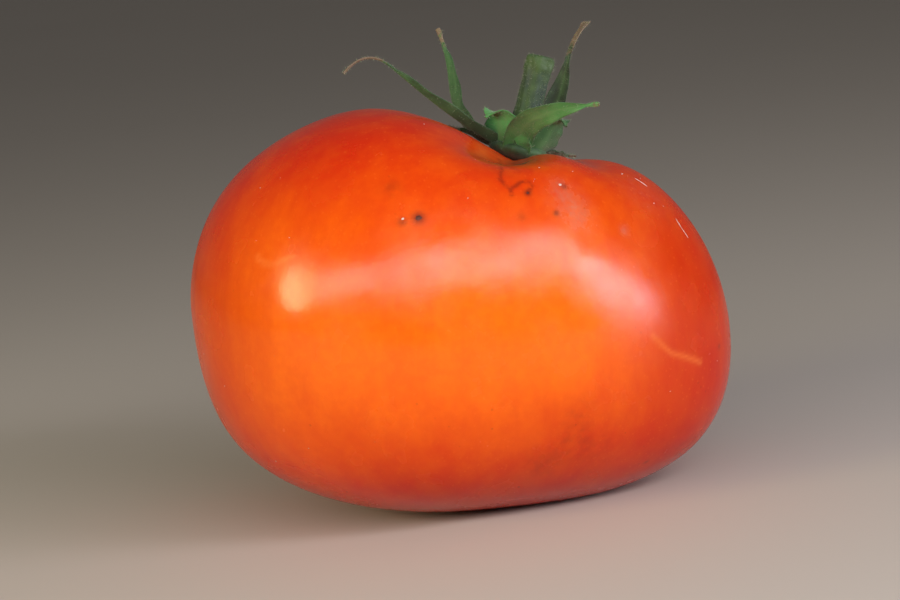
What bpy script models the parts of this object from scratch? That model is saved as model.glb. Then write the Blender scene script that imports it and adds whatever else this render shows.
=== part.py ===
"""A lopsided beefsteak tomato with its calyx and a stub of stem, at rest on its blossom end.

Run with: blender --background --python part.py

Metres, +Z up. The origin is in the flat spot that the fruit rests on, below the middle of its width.
+X runs along the fruit's longest side, towards its lower shoulder, and -Y is the front, where its deepest
groove is. Three solids: the fruit, the calyx (sepals grown together on their receptacle) and the stem.
"""

from collections import namedtuple
from math import asin, atan2, cos, exp, pi, radians, sin, tau

import bmesh
import bpy
from mathutils import Matrix, Vector
from mathutils.bvhtree import BVHTree

# Fruit: overall form
HALF_WIDTH = 0.0446
HALF_DEPTH = 0.0395
EQUATOR_HEIGHT = 0.0303
CROWN_RISE = 0.0370  # from the equator to the crown, before the stem cavity is sunk
BASE_DROP = 0.0309  # from the equator to the blossom end, a little more than EQUATOR_HEIGHT
CROWN_POWER = 2.0  # superellipse powers of the profile above and below the equator
BASE_POWER = 2.67
EQUATOR_SLOPE = 0.124  # fall of the equator per metre towards +X
CROWN_SLOPE = 0.20  # further fall of the crown towards +X
CROWN_BACK_SLOPE = 0.215  # fall of the crown towards +Y
STEM_POLE_X = 0.0128  # where the meridians meet at the stem, and at the blossom end
BLOSSOM_POLE_X = -0.0055
CAVITY_DEPTH = 0.0085
CAVITY_SPREAD = 0.35  # share of the fruit's half width
PLAN_LOBING = 0.04  # threefold unevenness of the plan
PLAN_LOBING_AZIMUTH = 6  # degrees, where the plan reaches out furthest

# Fruit: grooves between its lobes, in degrees. A groove has turned by its drift at the blossom end, and
# the one of negative depth is the swelling of the tallest lobe.
Groove = namedtuple("Groove", "azimuth depth spread drift")
GROOVES = (
    Groove(266, 0.82, 24, 30),
    Groove(316, 0.29, 18, 0),
    Groove(11, 0.97, 17, 0),
    Groove(62, 0.60, 15, 0),
    Groove(118, 0.80, 18, 0),
    Groove(168, 0.75, 14, 0),
    Groove(200, -0.12, 26, 0),
)
GROOVE_DEPTH = 0.11  # share of the radius that the deepest groove takes at the shoulder
EQUATOR_GROOVING = 0.4  # how much of that depth is left at the equator, and towards the blossom end
BASE_GROOVING = 0.8
GROOVE_RISE = 0.8  # share of the height above or below the equator at which a groove is at its full depth
GROOVE_SAG = 0.0075  # how far the deepest groove lowers the shoulder
SHOULDER_RADIUS = 0.45  # share of the half width at which the shoulders stand highest
SHOULDER_SPREAD = 0.25
FRUIT_SEGMENTS = 72
FRUIT_RINGS = 42

# Calyx: in its own frame, with +Z along the stem and its azimuths as on the fruit
STEM_LEAN_X = 0.35  # how far the stem leans per metre of height
STEM_LEAN_Y = 0.16
GAP = 0.0003  # between pieces that touch
RECEPTACLE_RADIUS = 0.0048
RECEPTACLE_HALF_HEIGHT = 0.0018
RECEPTACLE_SEGMENTS = 24
ROOT_RADIUS = 0.0034  # where a sepal starts, inside the receptacle
SEPAL_THICKNESS = 0.0008
THREAD_WIDTH = 0.0009  # of a sepal's dry tip
SEPAL_BELLY = 1.2  # how much the blade widens outwards before it tapers
SEPAL_TAPER = 0.8  # power of the taper, below 1 for a blunt end
FOLD_POWER = 1.5  # of the channel's section, between a straight V (1) and a round trough (2)
SEPAL_ROWS = 20
SEPAL_COLUMNS = 4
SKIN_CLEARANCE = 0.0009  # from the skin to a sepal's middle surface

# Angles are in degrees. The rib climbs at the angle root, turns to middle by the share bend of its length
# and to tip by its end. Sway is how far its azimuth turns, twist how far the blade rolls, fold how deep its
# channel is and thread how much of its length is a dry tip.
Sepal = namedtuple("Sepal", "azimuth length width root middle tip bend sway twist fold thread")
SEPALS = (
    Sepal(197, 0.0316, 0.0041, 17, 25, -64, 0.68, -4, 0, 0.5, 0.30),
    Sepal(228, 0.0086, 0.0098, 42, 64, -60, 0.50, -16, 0, 0.2, 0.03),
    Sepal(262, 0.0233, 0.0046, 48, 18, 16, 0.38, 78, -65, -0.3, 0.08),
    Sepal(312, 0.0096, 0.0084, 48, 70, -50, 0.55, 0, 0, 0.25, 0.03),
    Sepal(22, 0.0072, 0.0046, 14, 12, 6, 0.60, 8, 0, 0.4, 0.25),
    Sepal(60, 0.0275, 0.0050, 42, 94, 42, 0.64, -4, -10, 0.5, 0.28),
    Sepal(98, 0.0140, 0.0044, 18, 12, 4, 0.50, 0, 0, 0.4, 0.20),
    Sepal(142, 0.0272, 0.0072, 5, 66, 49, 0.66, 4, 60, 0.5, 0.14),
    Sepal(175, 0.0090, 0.0038, 14, 8, 0, 0.50, 6, 0, 0.4, 0.20),
)

# Stem: a turned profile, broken off at its knuckle
STEM_RADIUS = 0.00215
STEM_FOOT_RADIUS = 0.0027
STEM_FOOT_LENGTH = 0.0080
STEM_LENGTH = 0.0150
KNUCKLE_RADIUS = 0.0024
KNUCKLE_DROP = 0.0012  # from the broken face down to the knuckle's thickest place
KNUCKLE_SPREAD = 0.0019
CUT_DISH = 0.0004  # how far the broken face is hollowed
CUT_RING_RADIUS = 0.0014  # of a ring on the broken face, and its depth below the rim
CUT_RING_DEPTH = 0.0001
STEM_SEGMENTS = 24
STEM_ROWS = 18
SOCKET_DEPTH = 0.0012
SOCKET_CUTTER_HEIGHT = 0.0048


def new_material(name, color, roughness):
    material = bpy.data.materials.new(name)
    material.use_nodes = True
    shader = material.node_tree.nodes["Principled BSDF"]
    shader.inputs["Base Color"].default_value = (*color, 1)
    shader.inputs["Roughness"].default_value = roughness
    shader.inputs["Metallic"].default_value = 0
    material.diffuse_color = (*color, 1)
    return material


def new_object(name, mesh, collection, material=None):
    thing = bpy.data.objects.new(name, mesh)
    collection.objects.link(thing)
    if material:
        mesh.materials.append(material)
    return thing


def mesh_from(bm, name):
    mesh = bpy.data.meshes.new(name)
    bm.to_mesh(mesh)
    bm.free()
    mesh.shade_smooth()
    return mesh


def ease(share):
    """Smooth step from 0 to 1."""
    share = min(max(share, 0), 1)
    return share * share * (3 - 2 * share)


def bell(distance, spread):
    return exp(-((distance / spread) ** 2))


def groove_share(azimuth, latitude):
    """How much of the deepest groove there is in this direction."""
    descent = 0.5 - latitude / pi
    total = 0
    for groove in GROOVES:
        middle = radians(groove.azimuth + groove.drift * descent)
        off = (azimuth - middle + pi) % tau - pi
        total += groove.depth * bell(off, radians(groove.spread))
    return total


def skin_point(azimuth, latitude):
    """A point of the skin. Latitude runs from -90 degrees at the blossom end to +90 at the stem."""
    crown = latitude >= 0
    power = CROWN_POWER if crown else BASE_POWER
    out, rise = cos(latitude), abs(sin(latitude))
    scale = (out**power + rise**power) ** (-1 / power)
    out *= scale
    rise *= scale

    groove = groove_share(azimuth, latitude)
    grooving = 1 if crown else BASE_GROOVING
    grooving = EQUATOR_GROOVING + (grooving - EQUATOR_GROOVING) * ease(rise / GROOVE_RISE)
    plan = 1 + PLAN_LOBING * cos(3 * (azimuth - radians(PLAN_LOBING_AZIMUTH)))
    radius = out * (1 - GROOVE_DEPTH * groove * grooving) * plan
    pole_x = STEM_POLE_X if crown else BLOSSOM_POLE_X
    x = pole_x * (1 - out**2) + HALF_WIDTH * radius * cos(azimuth)
    y = HALF_DEPTH * radius * sin(azimuth)

    z = EQUATOR_HEIGHT - EQUATOR_SLOPE * x
    if crown:
        z += (CROWN_RISE - CROWN_SLOPE * x - CROWN_BACK_SLOPE * y) * rise
        z -= CAVITY_DEPTH * bell(out, CAVITY_SPREAD)
        z -= GROOVE_SAG * groove * bell(out - SHOULDER_RADIUS, SHOULDER_SPREAD) * rise
    else:
        z -= BASE_DROP * rise
    return Vector((x, y, max(z, 0)))


def make_fruit(collection):
    bm = bmesh.new()
    bmesh.ops.create_uvsphere(bm, u_segments=FRUIT_SEGMENTS, v_segments=FRUIT_RINGS, radius=1)
    for vertex in bm.verts:
        x, y, z = vertex.co
        vertex.co = skin_point(atan2(y, x), asin(min(max(z, -1), 1)))
    skin = new_material("tomato_skin", (0.83, 0.11, 0.01), 0.25)
    return new_object("fruit", mesh_from(bm, "fruit"), collection, skin)


def calyx_frame():
    """Where the calyx stands: at the bottom of the stem cavity, leaning as the stem does."""
    axis = Vector((STEM_LEAN_X, STEM_LEAN_Y, 1)).normalized()
    place = skin_point(0, pi / 2) + GAP * axis
    lean = Vector((0, 0, 1)).rotation_difference(axis)
    return Matrix.LocRotScale(place, lean, None)


def sepal_width(sepal, share):
    """A lance-shaped blade that ends in a thread."""
    along = min(share / (1 - sepal.thread), 1)
    blade = (1 - along) ** SEPAL_TAPER * (1 + SEPAL_BELLY * along)
    return max(THREAD_WIDTH, sepal.width * blade)


def rib_climb(sepal, share):
    """The rib's inclination above the calyx's plane, in degrees."""
    if share < sepal.bend:
        return sepal.root + (sepal.middle - sepal.root) * ease(share / sepal.bend)
    past = (share - sepal.bend) / (1 - sepal.bend)
    return sepal.middle + (sepal.tip - sepal.middle) * ease(past)


def sepal_rib(sepal):
    """(place, sideways direction, upward direction) at each row of the sepal, from root to tip."""
    azimuth = radians(sepal.azimuth)
    place = Vector((cos(azimuth), sin(azimuth), 0)) * ROOT_RADIUS
    place.z = RECEPTACLE_HALF_HEIGHT
    rows = []
    for row in range(SEPAL_ROWS + 1):
        share = row / SEPAL_ROWS
        climb = radians(rib_climb(sepal, share))
        heading = azimuth + radians(sepal.sway) * share
        ahead = Vector((cos(climb) * cos(heading), cos(climb) * sin(heading), sin(climb)))
        roll = Matrix.Rotation(radians(sepal.twist) * share, 3, ahead)
        side = roll @ Vector((-sin(heading), cos(heading), 0))
        rows.append((place.copy(), side, ahead.cross(side)))
        place += ahead * (sepal.length / SEPAL_ROWS)
    return rows


def make_sepal(sepal, name, frame, skin_tree, collection):
    """A channelled blade on its rib, pushed clear of the skin, as a closed solid in the calyx's frame."""
    rib = sepal_rib(sepal)
    back = frame.inverted()
    bm = bmesh.new()
    bmesh.ops.create_grid(bm, x_segments=SEPAL_COLUMNS, y_segments=SEPAL_ROWS, size=1)
    for vertex in bm.verts:
        across, share = vertex.co.x, (vertex.co.y + 1) / 2
        place, side, up = rib[round(share * SEPAL_ROWS)]
        half = sepal_width(sepal, share) / 2
        lift = sepal.fold * half * abs(across) ** FOLD_POWER
        point = frame @ (place + side * (half * across) + up * lift)
        nearest, normal, _, _ = skin_tree.find_nearest(point)
        if (point - nearest).dot(normal) < SKIN_CLEARANCE:
            point = nearest + normal * SKIN_CLEARANCE
        vertex.co = back @ point
    blade = new_object(name, mesh_from(bm, name), collection)
    wall = blade.modifiers.new("thickness", "SOLIDIFY")
    wall.thickness = SEPAL_THICKNESS
    wall.offset = 0
    return blade


def make_calyx(fruit, frame, collection):
    """The receptacle with its sepals, joined in one body, with a socket for the stem."""
    skin_tree = BVHTree.FromObject(fruit, bpy.context.evaluated_depsgraph_get())
    blades = bpy.data.collections.new("sepal_blades")
    bpy.context.scene.collection.children.link(blades)
    for number, sepal in enumerate(SEPALS, 1):
        make_sepal(sepal, f"sepal_{number}", frame, skin_tree, blades)

    bm = bmesh.new()
    bmesh.ops.create_uvsphere(
        bm,
        u_segments=RECEPTACLE_SEGMENTS,
        v_segments=RECEPTACLE_SEGMENTS // 2,
        radius=RECEPTACLE_RADIUS,
    )
    bmesh.ops.scale(bm, vec=(1, 1, RECEPTACLE_HALF_HEIGHT / RECEPTACLE_RADIUS), verts=bm.verts)
    bmesh.ops.translate(bm, vec=(0, 0, RECEPTACLE_HALF_HEIGHT), verts=bm.verts)
    green = new_material("calyx_green", (0.10, 0.19, 0.05), 0.6)
    calyx = new_object("calyx", mesh_from(bm, "calyx"), collection, green)
    union = calyx.modifiers.new("sepals", "BOOLEAN")
    union.operation = "UNION"
    union.operand_type = "COLLECTION"
    union.collection = blades
    union.solver = "EXACT"
    union.use_self = True
    bpy.context.view_layer.update()
    joined = bpy.data.meshes.new_from_object(
        calyx.evaluated_get(bpy.context.evaluated_depsgraph_get())
    )
    calyx.modifiers.clear()
    calyx.data = joined
    for blade in list(blades.objects):
        bpy.data.objects.remove(blade)
    bpy.data.collections.remove(blades)
    return calyx


def cut_socket(calyx):
    """A plain round hole in the receptacle's top, which the stem's foot stands in."""
    cutters = bpy.data.collections.new("cutters")
    bpy.context.scene.collection.children.link(cutters)
    floor = 2 * RECEPTACLE_HALF_HEIGHT - SOCKET_DEPTH
    bm = bmesh.new()
    bmesh.ops.create_cone(
        bm,
        cap_ends=True,
        segments=STEM_SEGMENTS,
        radius1=STEM_FOOT_RADIUS + GAP,
        radius2=STEM_FOOT_RADIUS + GAP,
        depth=SOCKET_CUTTER_HEIGHT,
    )
    bmesh.ops.translate(bm, vec=(0, 0, floor + SOCKET_CUTTER_HEIGHT / 2), verts=bm.verts)
    cutter = new_object("socket_cutter", mesh_from(bm, "socket_cutter"), cutters)
    cutter.hide_render = True
    cutter.display_type = "WIRE"
    cutter.parent = calyx.parent
    cut = calyx.modifiers.new("socket", "BOOLEAN")
    cut.operation = "DIFFERENCE"
    cut.object = cutter
    cut.solver = "EXACT"
    return floor


def stem_radius(height):
    """Flared at its foot, and swollen at the knuckle where it broke off."""
    flare = 1 - ease(height / STEM_FOOT_LENGTH)
    swell = bell(STEM_LENGTH - KNUCKLE_DROP - height, KNUCKLE_SPREAD)
    return (
        STEM_RADIUS
        + (STEM_FOOT_RADIUS - STEM_RADIUS) * flare
        + (KNUCKLE_RADIUS - STEM_RADIUS) * swell
    )


def make_stem(collection):
    """A turned profile, from the dished break at its top down its side to the foot."""
    profile = [(0, STEM_LENGTH - CUT_DISH), (CUT_RING_RADIUS, STEM_LENGTH - CUT_RING_DEPTH)]
    for row in range(STEM_ROWS + 1):
        height = STEM_LENGTH * (1 - row / STEM_ROWS)
        profile.append((stem_radius(height), height))
    profile.append((0, 0))
    mesh = bpy.data.meshes.new("stem")
    mesh.from_pydata(
        [(radius, 0, height) for radius, height in profile],
        [(row, row + 1) for row in range(len(profile) - 1)],
        [],
    )
    green = new_material("stem_green", (0.13, 0.20, 0.07), 0.6)
    stem = new_object("stem", mesh, collection, green)
    screw = stem.modifiers.new("turned", "SCREW")
    screw.steps = STEM_SEGMENTS
    screw.render_steps = STEM_SEGMENTS
    screw.use_merge_vertices = True
    screw.merge_threshold = 0.00001
    return stem


def main():
    for thing in list(bpy.data.objects):
        bpy.data.objects.remove(thing)
    tomato = bpy.data.collections.new("tomato")
    bpy.context.scene.collection.children.link(tomato)

    fruit = make_fruit(tomato)
    frame = calyx_frame()
    axis = bpy.data.objects.new("stem_axis", None)
    tomato.objects.link(axis)
    axis.matrix_world = frame
    bpy.context.view_layer.update()

    calyx = make_calyx(fruit, frame, tomato)
    calyx.parent = axis
    socket_floor = cut_socket(calyx)
    stem = make_stem(tomato)
    stem.parent = axis
    stem.location.z = socket_floor + GAP


main()
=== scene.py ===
"""The looks of a lopsided beefsteak tomato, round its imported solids.

Metres, +Z up, in the solids' frame: the origin is in the spot that the fruit rests on, +X runs along its
longest side and -Y is the front, where its deepest groove is. The fruit, the calyx and the stem are each
drawn again by the formulas of their solids, with many more points, and take the solids' place.
"""

import random
from collections import namedtuple
from math import ceil, cos, pi, radians, sin, tau

import bpy
import numpy as np
from mathutils import Matrix, Vector, noise
from mathutils.bvhtree import BVHTree


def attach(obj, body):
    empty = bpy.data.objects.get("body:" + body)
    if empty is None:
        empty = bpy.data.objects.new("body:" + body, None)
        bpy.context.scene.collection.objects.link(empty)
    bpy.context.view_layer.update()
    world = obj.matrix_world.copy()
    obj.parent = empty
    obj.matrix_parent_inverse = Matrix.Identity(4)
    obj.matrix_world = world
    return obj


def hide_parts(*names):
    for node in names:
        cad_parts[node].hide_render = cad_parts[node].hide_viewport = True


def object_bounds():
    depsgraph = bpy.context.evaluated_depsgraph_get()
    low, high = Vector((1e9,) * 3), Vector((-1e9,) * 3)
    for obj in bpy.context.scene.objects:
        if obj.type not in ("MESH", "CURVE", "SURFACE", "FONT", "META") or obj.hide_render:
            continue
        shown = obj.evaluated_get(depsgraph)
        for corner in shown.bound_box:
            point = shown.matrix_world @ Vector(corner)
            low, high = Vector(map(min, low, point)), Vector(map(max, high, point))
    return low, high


MM = 0.001

# Fruit: the form of its solid
HALF_WIDTH = 44.6 * MM
HALF_DEPTH = 39.5 * MM
EQUATOR_HEIGHT = 30.3 * MM
CROWN_RISE = 37.0 * MM
BASE_DROP = 30.9 * MM
CROWN_POWER = 2.0
BASE_POWER = 2.67
EQUATOR_SLOPE = 0.124
CROWN_SLOPE = 0.20
CROWN_BACK_SLOPE = 0.215
STEM_POLE_X = 12.8 * MM
BLOSSOM_POLE_X = -5.5 * MM
CAVITY_DEPTH = 8.5 * MM
CAVITY_SPREAD = 0.35
PLAN_LOBING = 0.04
PLAN_LOBING_AZIMUTH = 6
Groove = namedtuple("Groove", "azimuth depth spread drift")
GROOVES = (
    Groove(266, 0.82, 24, 30),
    Groove(316, 0.29, 18, 0),
    Groove(11, 0.97, 17, 0),
    Groove(62, 0.60, 15, 0),
    Groove(118, 0.80, 18, 0),
    Groove(168, 0.75, 14, 0),
    Groove(200, -0.12, 26, 0),
)
GROOVE_DEPTH = 0.11
EQUATOR_GROOVING = 0.4
BASE_GROOVING = 0.8
GROOVE_RISE = 0.8
GROOVE_SAG = 7.5 * MM
SHOULDER_RADIUS = 0.45
SHOULDER_SPREAD = 0.25

# Fruit: what the fine mesh adds
FRUIT_SEGMENTS = 400
FRUIT_RINGS = 245
MARKED_AZIMUTH = 290  # the mesh is closest there and on the shoulders, where the marks are
FRONT_CROWDING = 0.45
SHOULDER_CROWDING = 0.35
REST_ROUNDING = 0.25 * MM  # how softly the skin meets the surface it rests on
UNEVENNESS = 0.16 * MM  # slow waves in the skin, and how many of them in a metre
UNEVENNESS_SCALE = 75
UNEVENNESS_START = 10 * MM  # below this height they fade out, towards where the fruit rests
CAVITY_PLEATS = 26  # fine creases round the stem
CAVITY_PLEAT_DEPTH = 0.10 * MM
CAVITY_PLEAT_RADIUS = 0.12  # share of the half width
SCAR_RADIUS = 2.4 * MM  # the corky scar at the blossom end
SCAR_DIMPLE = 0.5 * MM
STREAK_DRAW = 0.12  # the smaller, the longer the streaks from pole to pole

# Calyx: in its own frame, with +Z along the stem
STEM_LEAN_X = 0.35
STEM_LEAN_Y = 0.16
GAP = 0.3 * MM
RECEPTACLE_RADIUS = 4.8 * MM
RECEPTACLE_HALF_HEIGHT = 1.8 * MM
ROOT_RADIUS = 3.4 * MM
SEPAL_BELLY = 1.2
SEPAL_TAPER = 0.8
FOLD_POWER = 1.5
RIB_THICKNESS = 0.85 * MM
MARGIN_THICKNESS = 0.30 * MM
THREAD_THICKNESS = 0.42 * MM
SKIN_CLEARANCE = 0.9 * MM
SEPAL_ROWS = 72
SEPAL_COLUMNS = 14
MARGIN_WAVE = 0.16 * MM
MARGIN_WAVE_TURN = 23  # radians from root to tip
MARGIN_WAVE_STEP = 2  # radians from one sepal to the next
MARGIN_ROUNDING = 0.5  # a power: the smaller, the blunter
RIB_SPREAD = 0.35  # share of the half width
RIB_THINNING = 1.1  # the rib is as thin as the thread 1/1.1 of the way along
THREAD_NECK = 0.7  # the thread's width before its tip, as a share of tip_width
TIP_SWELL = 0.5
TIP_PLACE = 0.97
TIP_SPREAD = 0.03
DRY_START = 1.25  # in lengths of the thread, back from the tip
DRY_REACH = 0.8
THREAD_DRYNESS = 5  # a thread shorter than 1/5 of its sepal isn't quite dry
RECEPTACLE_SEGMENTS = 96
RECEPTACLE_RINGS = 40
RECEPTACLE_SWELL = 0.05  # where each sepal grows, as a share of the radius
RECEPTACLE_SWELL_SPREAD = 12

# As in the solids. The tone field is how dark and dull the sepal is, partly its own colour and partly
# painted shade: darker for the sepals that lie in shade, lighter for the lit ones. tip_width is how wide
# its dry tip is.
Sepal = namedtuple(
    "Sepal", "azimuth length width root middle tip bend sway twist fold thread tone tip_width"
)
SEPALS = (
    Sepal(197, 31.6 * MM, 4.1 * MM, 17, 25, -64, 0.68, -4, 0, 0.5, 0.30, 0.86, 0.60 * MM),
    Sepal(228, 8.6 * MM, 9.8 * MM, 42, 64, -60, 0.50, -16, 0, 0.2, 0.03, 0.0, 0.75 * MM),
    Sepal(262, 23.3 * MM, 4.6 * MM, 48, 18, 16, 0.38, 78, -65, -0.3, 0.08, 0.37, 0.75 * MM),
    Sepal(312, 9.6 * MM, 8.4 * MM, 48, 70, -50, 0.55, 0, 0, 0.25, 0.03, 0.68, 0.75 * MM),
    Sepal(22, 7.2 * MM, 4.6 * MM, 14, 12, 6, 0.60, 8, 0, 0.4, 0.25, 0.9, 0.75 * MM),
    Sepal(60, 27.5 * MM, 5.0 * MM, 42, 94, 42, 0.64, -4, -10, 0.5, 0.28, 1.0, 1.40 * MM),
    Sepal(98, 14.0 * MM, 4.4 * MM, 18, 12, 4, 0.50, 0, 0, 0.4, 0.20, 0.7, 0.75 * MM),
    Sepal(142, 27.2 * MM, 7.2 * MM, 5, 66, 49, 0.66, 4, 60, 0.5, 0.14, 0.78, 1.20 * MM),
    Sepal(175, 9.0 * MM, 3.8 * MM, 14, 8, 0, 0.50, 6, 0, 0.4, 0.20, 0.9, 0.75 * MM),
)

# Stem
STEM_RADIUS = 2.15 * MM
STEM_FOOT_RADIUS = 2.7 * MM
STEM_FOOT_LENGTH = 8.0 * MM
STEM_LENGTH = 15.0 * MM
KNUCKLE_RADIUS = 2.4 * MM
KNUCKLE_DROP = 1.2 * MM
KNUCKLE_SPREAD = 1.9 * MM
CUT_DISH = 0.4 * MM
SOCKET_DEPTH = 1.2 * MM
STEM_SEGMENTS = 96
STEM_ROWS = 110
STEM_TWIST = 0.5  # radians from foot to break
STEM_RIDGES = 6
FINE_RIDGES = 13
FINE_RIDGE_SHARE = 0.4
STEM_RIDGE_HEIGHT = 0.07 * MM
RIDGE_RISE = 8  # ridges are full 1/8 of the way up
STEM_BUMP = 0.06 * MM
STEM_BUMP_SCALE = 1.5
STEM_BUMP_CLOSENESS = 500  # along the stem
KNUCKLE_LUMP = 0.42 * MM
KNUCKLE_LUMP_SPREAD = 1.3 * MM
KNUCKLE_LUMP_SCALE = 1.8
KNUCKLE_LUMP_CLOSENESS = 600
KNUCKLE_LUMP_START = 7
RIM_LENGTH = 0.025  # share of the length over which the rim rounds off
RIM_ROUNDING = 0.25 * MM
BREAK_RINGS = 9
BREAK_ROUGHNESS = 0.40 * MM
BREAK_ROUGHNESS_SCALE = 4

# Hairs
HAIR_RADIUS = 0.028 * MM
HAIR_LENGTH = 0.55 * MM
HAIR_LENGTHS = (0.4, 1.15)  # shares of HAIR_LENGTH
HAIR_LEAN = 0.5
HAIR_SINK = 0.02 * MM
STEM_HAIRS = 700
SEPAL_HAIRS = 2600


def ease(share):
    """Smooth step from 0 to 1, for numbers and arrays."""
    share = np.clip(share, 0, 1)
    return share * share * (3 - 2 * share)


def bell(distance, spread):
    return np.exp(-((distance / spread) ** 2))


# ---------------------------------------------------------------- shader graphs


class Graph:
    """Short calls that add nodes to one material."""

    def __init__(self, name):
        self.material = bpy.data.materials.new(name)
        self.material.use_nodes = True
        self.tree = self.material.node_tree
        self.shader = self.tree.nodes["Principled BSDF"]

    def put(self, socket, value):
        if isinstance(value, bpy.types.NodeSocket):
            self.tree.links.new(value, socket)
        else:
            socket.default_value = value

    def add(self, kind, inputs, **settings):
        node = self.tree.nodes.new("ShaderNode" + kind)
        for key, value in settings.items():
            setattr(node, key, value)
        for key, value in inputs.items():
            self.put(node.inputs[key], value)
        return node

    def finish(self, inputs):
        for key, value in inputs.items():
            self.put(self.shader.inputs[key], value)
        return self.material

    def place(self):
        return self.add("TexCoord", {}).outputs["Object"]

    def attribute(self, name, output="Fac"):
        return self.add("Attribute", {}, attribute_name=name).outputs[output]

    def noise(self, place, scale, detail=2.0, roughness=0.5):
        inputs = {"Vector": place, "Scale": scale, "Detail": detail, "Roughness": roughness}
        return self.add("TexNoise", inputs).outputs["Fac"]

    def cells(self, place, scale, output="Distance"):
        return self.add("TexVoronoi", {"Vector": place, "Scale": scale}).outputs[output]

    def step(self, value, low, high, to_low=0.0, to_high=1.0):
        """Smooth step: to_low at the value low, to_high at the value high."""
        inputs = {
            "Value": value,
            "From Min": low,
            "From Max": high,
            "To Min": to_low,
            "To Max": to_high,
        }
        return self.add("MapRange", inputs, interpolation_type="SMOOTHSTEP").outputs["Result"]

    def times(self, first, second):
        return self.add("Math", {0: first, 1: second}, operation="MULTIPLY").outputs[0]

    def plus(self, first, second):
        return self.add("Math", {0: first, 1: second}, operation="ADD").outputs[0]

    def mix(self, share, first, second, blend="MIX"):
        inputs = {0: share, 6: first, 7: second}
        return self.add("Mix", inputs, data_type="RGBA", blend_type=blend).outputs[2]

    def bump(self, height, distance, strength=1.0):
        inputs = {"Height": height, "Distance": distance, "Strength": strength}
        return self.add("Bump", inputs).outputs["Normal"]


RIPE_RED = (0.60, 0.024, 0.001, 1)
RIPE_ORANGE = (0.90, 0.150, 0.001, 1)
PAINTED_SHADE_RED = (0.36, 0.012, 0.001, 1)
PALE_FLECK = (0.92, 0.22, 0.03, 1)
PALE_LINE = (0.95, 0.30, 0.06, 1)
STAIN_RED = (0.22, 0.014, 0.004, 1)
SPOT_BROWN = (0.07, 0.014, 0.010, 1)
DUST_GREY = (0.44, 0.20, 0.14, 1)
CORK_BROWN = (0.22, 0.10, 0.045, 1)


def skin_material():
    """Waxy red-orange skin: slow changes of ripeness, painted shade towards the base and the left and right
    sides, streaks down the fruit, flecks, dust and stains.
    """
    graph = Graph("tomato_skin")
    place = graph.place()
    grain = graph.attribute("grain", "Vector")
    blotches = graph.noise(place, 70, 3)
    streaks = graph.noise(grain, 260, 4, 0.6)
    wander = graph.plus(
        graph.step(blotches, 0.3, 0.7, -0.10, 0.10), graph.step(streaks, 0.3, 0.7, -0.10, 0.10)
    )
    color = graph.mix(graph.plus(graph.attribute("orange"), wander), RIPE_RED, RIPE_ORANGE)
    # Painted shade: a deeper red towards the base and towards the left and right sides
    color = graph.mix(graph.attribute("painted_shade"), color, PAINTED_SHADE_RED)

    fleck_size = graph.step(graph.cells(place, 900), 0.10, 0.24, 0.12, 0.0)
    color = graph.mix(fleck_size, color, PALE_FLECK)
    mottle = graph.step(graph.noise(place, 700, 3), 0.35, 0.65, 0.0, 0.12)
    color = graph.mix(mottle, color, RIPE_RED)
    color = graph.mix(graph.attribute("pale"), color, PALE_LINE)

    blots = graph.step(graph.noise(place, 330, 4, 0.65), 0.40, 0.66, 0.25, 1.0)
    color = graph.mix(graph.times(graph.attribute("stain"), blots), color, STAIN_RED)
    broken = graph.step(graph.noise(place, 1100, 3), 0.32, 0.58, 0.25, 1.0)
    color = graph.mix(graph.times(graph.attribute("scar"), broken), color, STAIN_RED)
    specks = graph.step(graph.cells(place, 420), 0.05, 0.13, 1.0, 0.0)
    rare = graph.step(graph.noise(place, 210, 2), 0.56, 0.60)
    speck_share = graph.times(graph.times(specks, rare), graph.attribute("specks"))
    color = graph.mix(speck_share, color, STAIN_RED)
    color = graph.mix(graph.attribute("spot"), color, SPOT_BROWN)

    cloud = graph.step(graph.noise(place, 650, 4, 0.7), 0.20, 0.90, 0.15, 1.0)
    dusty = graph.times(graph.attribute("dust"), cloud)
    color = graph.mix(dusty, color, DUST_GREY)
    cork = graph.attribute("cork")
    color = graph.mix(cork, color, CORK_BROWN)

    wax = graph.step(graph.noise(place, 130, 4), 0.3, 0.7, 0.17, 0.29)
    roughness = graph.plus(wax, graph.times(graph.plus(dusty, cork), 0.4))
    waves = graph.times(graph.noise(place, 240, 3), 0.6)
    fine = graph.times(graph.noise(place, 1500, 2), 0.10)
    crackle = graph.times(graph.noise(place, 2400, 3), cork)
    height = graph.plus(graph.plus(waves, fine), crackle)
    return graph.finish(
        {
            "Base Color": color,
            "Roughness": roughness,
            "Normal": graph.bump(height, 0.12 * MM, 0.65),
            "Specular IOR Level": 0.36,
            "Subsurface Weight": 0.22,
            "Subsurface Radius": (1.0, 0.22, 0.06),
            "Subsurface Scale": 3.0 * MM,
        }
    )


LEAF_GREEN = (0.078, 0.350, 0.088, 1)
LEAF_PALE = (0.145, 0.32, 0.12, 1)
LEAF_DARK = (0.023, 0.037, 0.021, 1)
DRY_BROWN = (0.105, 0.060, 0.032, 1)
DRY_PALE = (0.20, 0.145, 0.095, 1)


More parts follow.
